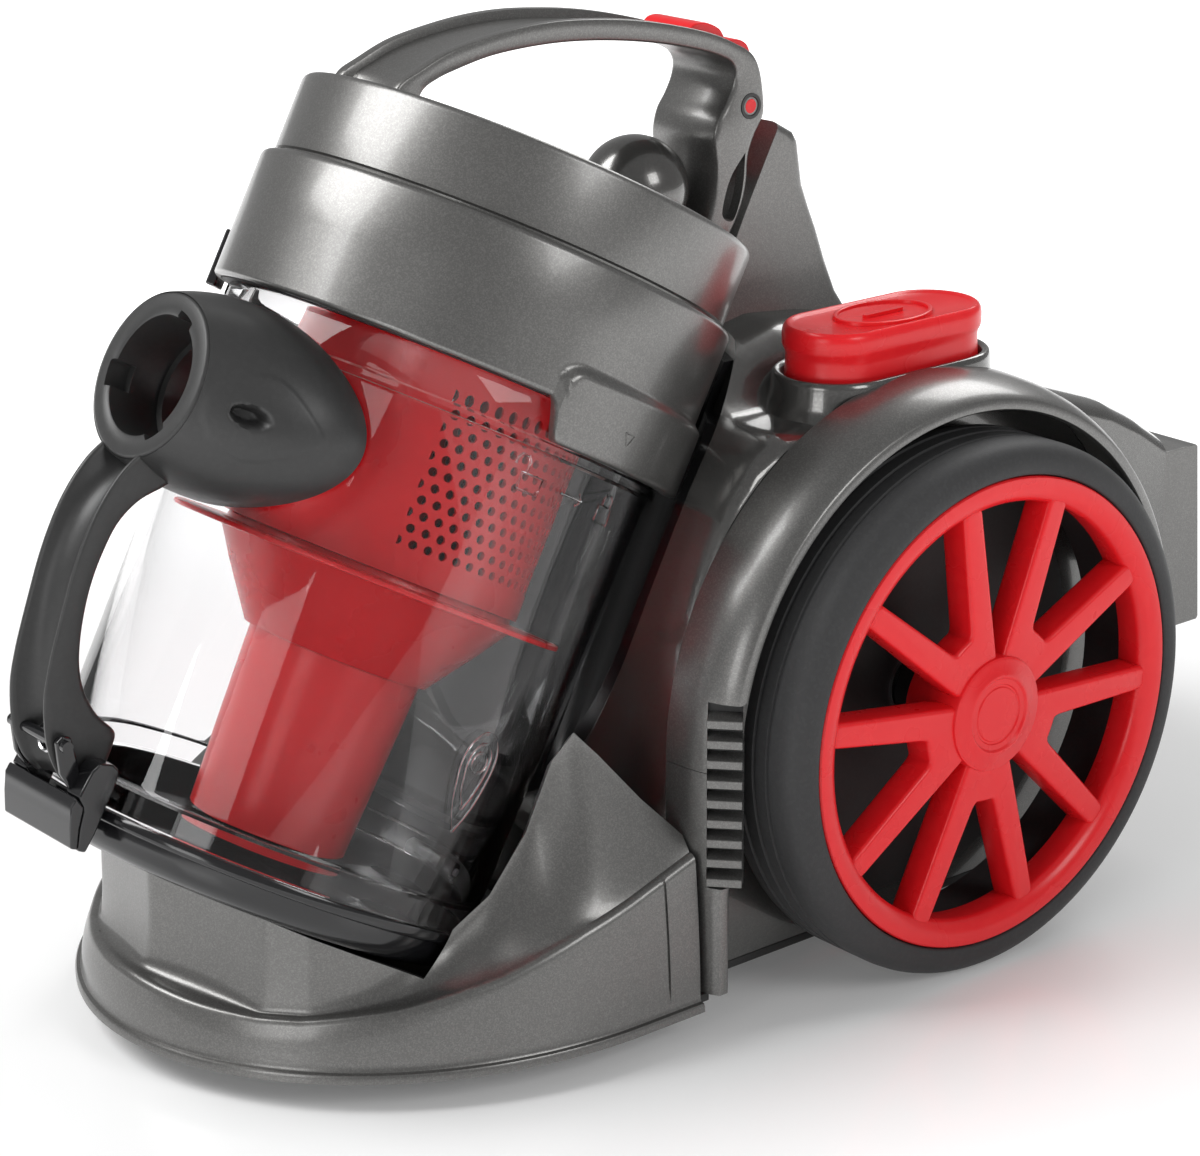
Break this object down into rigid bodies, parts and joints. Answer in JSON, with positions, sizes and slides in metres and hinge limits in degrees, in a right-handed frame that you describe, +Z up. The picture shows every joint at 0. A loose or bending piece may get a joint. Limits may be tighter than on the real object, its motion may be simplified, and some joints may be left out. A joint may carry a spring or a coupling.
{
  "type": "canister vacuum cleaner",
  "caption": "Canister vacuum cleaner: tilted clear cyclone cup with lid and carry handle on a rounded base, large spoked wheels, caster and foot pedals.",
  "frame": {"origin": "on the floor, under the middle of the whole machine", "axes": "+Z up, -Y towards the hose inlet (front), +X towards the machine's left as it moves forward, which is the power pedal's side"},
  "size_m": [0.272, 0.4762, 0.3283],
  "materials": {
    "shell_grey": "metallic flake grey, satin",
    "dark_plastic": "fine satin",
    "black_plastic": "gloss",
    "red_plastic": "gloss",
    "tyre_rubber": "matt",
    "seal_rubber": "matt",
    "steel": "bright",
    "clear_cup": "clear polished",
    "filter_media": "pleated felt",
    "board_green": "solder mask"
  },
  "bodies": {
    "chassis": {"base_pan": "dark_plastic", "front_shell": "shell_grey", "rear_shell": "shell_grey", "cradle": "black_plastic", "spine_tower": "shell_grey", "fender_left": "shell_grey", "fender_right": "shell_grey", "vent_left": "dark_plastic", "vent_right": "dark_plastic", "collar_left": "shell_grey", "collar_right": "shell_grey", "rear_dock": "shell_grey", "skid_pads": "seal_rubber", "axle_left": "steel", "axle_right": "steel", "pedal_spring_left": "steel", "pedal_spring_right": "steel", "motor_can": "steel", "motor_cup": "dark_plastic", "motor_seal": "seal_rubber", "exhaust_filter": "filter_media", "circuit_board": "board_green", "power_switch": "dark_plastic", "reel_axle": "steel", "cable_gland": "dark_plastic"},
    "wheel_left": {"tyre_left": "tyre_rubber", "hubcap_left": "red_plastic", "bush_left": "dark_plastic"},
    "wheel_right": {"tyre_right": "tyre_rubber", "hubcap_right": "red_plastic", "bush_right": "dark_plastic"},
    "caster_yoke": {"caster_fork": "dark_plastic", "caster_axle": "steel"},
    "caster_roller": {"caster_wheel": "seal_rubber"},
    "power_key": {"power_pedal": "red_plastic"},
    "rewind_key": {"rewind_pedal": "red_plastic"},
    "rotor": {"motor_rotor": "steel"},
    "reel": {"cable_reel": "dark_plastic"},
    "dust_cup": {"cup": "clear_cup", "inlet_horn": "dark_plastic", "inlet_seal": "seal_rubber", "cup_handle": "dark_plastic", "handle_screw": "steel", "latch_pin": "steel", "flap_hinge_pin": "steel", "cyclone_shroud": "red_plastic", "cyclone_skirt": "red_plastic", "cyclone_tube": "red_plastic"},
    "latch": {"flap_latch": "black_plastic"},
    "flap": {"bottom_flap": "black_plastic", "flap_seal": "seal_rubber"},
    "lid": {"lid_ring": "shell_grey", "lid_cap": "shell_grey", "lid_gasket": "seal_rubber", "lid_handle": "shell_grey", "lid_dome": "black_plastic", "lid_clip": "black_plastic", "release_pin": "red_plastic", "intake_filter": "filter_media"},
    "release": {"release_button": "red_plastic"}
  },
  "joints": [
    {"name": "wheel_left_spin", "type": "hinge", "parent": "chassis", "child": "wheel_left", "pos_m": [-0.115, 0.0741, 0.095], "axis": [1, 0, 0], "continuous": true},
    {"name": "wheel_right_spin", "type": "hinge", "parent": "chassis", "child": "wheel_right", "pos_m": [0.115, 0.0741, 0.095], "axis": [1, 0, 0], "continuous": true},
    {"name": "caster_swivel", "type": "hinge", "parent": "chassis", "child": "caster_yoke", "pos_m": [0, -0.1579, 0.03], "axis": [0, 0, 1], "continuous": true},
    {"name": "caster_roll", "type": "hinge", "parent": "caster_yoke", "child": "caster_roller", "pos_m": [0, -0.1499, 0.013], "axis": [1, 0, 0], "continuous": true},
    {"name": "power_press", "type": "slide", "parent": "chassis", "child": "power_key", "axis": [0, 0, -1], "range_m": [0, 0.005], "stiffness_N_per_m": 800, "springref_m": -0.002, "deforming": ["pedal_spring_right"]},
    {"name": "rewind_press", "type": "slide", "parent": "chassis", "child": "rewind_key", "axis": [0, 0, -1], "range_m": [0, 0.005], "stiffness_N_per_m": 800, "springref_m": -0.002, "deforming": ["pedal_spring_left"]},
    {"name": "rotor_spin", "type": "hinge", "parent": "chassis", "child": "rotor", "pos_m": [0, 0.0601, 0.112], "axis": [0, 1, 0], "continuous": true},
    {"name": "reel_spin", "type": "hinge", "parent": "chassis", "child": "reel", "pos_m": [0, 0.1461, 0.066], "axis": [1, 0, 0], "continuous": true},
    {"name": "cup_lift", "type": "slide", "parent": "chassis", "child": "dust_cup", "axis": [0, 0.4848, 0.8746], "range_m": [0, 0.18]},
    {"name": "lid_twist", "type": "hinge", "parent": "dust_cup", "child": "lid", "pos_m": [0, -0.03879, 0.24367], "axis": [0, 0.4848, 0.8746], "range_deg": [-18, 0]},
    {"name": "latch_press", "type": "hinge", "parent": "dust_cup", "child": "latch", "pos_m": [0, -0.21982, 0.12335], "axis": [-1, 0, 0], "range_deg": [0, 12], "stiffness_Nm_per_rad": 0.5, "springref_deg": -5.73},
    {"name": "flap_open", "type": "hinge", "parent": "dust_cup", "child": "flap", "pos_m": [0, -0.06642, 0.02345], "axis": [1, 0, 0], "range_deg": [0, 18]},
    {"name": "release_press", "type": "hinge", "parent": "lid", "child": "release", "pos_m": [0, 0.06582, 0.28904], "axis": [1, 0, 0], "range_deg": [0, 7], "stiffness_Nm_per_rad": 0.4, "springref_deg": -5.73}
  ],
  "couplings": [
    {"joint": "flap_open", "follows": "cup_lift", "rad_per_m": 1.74}
  ]
}
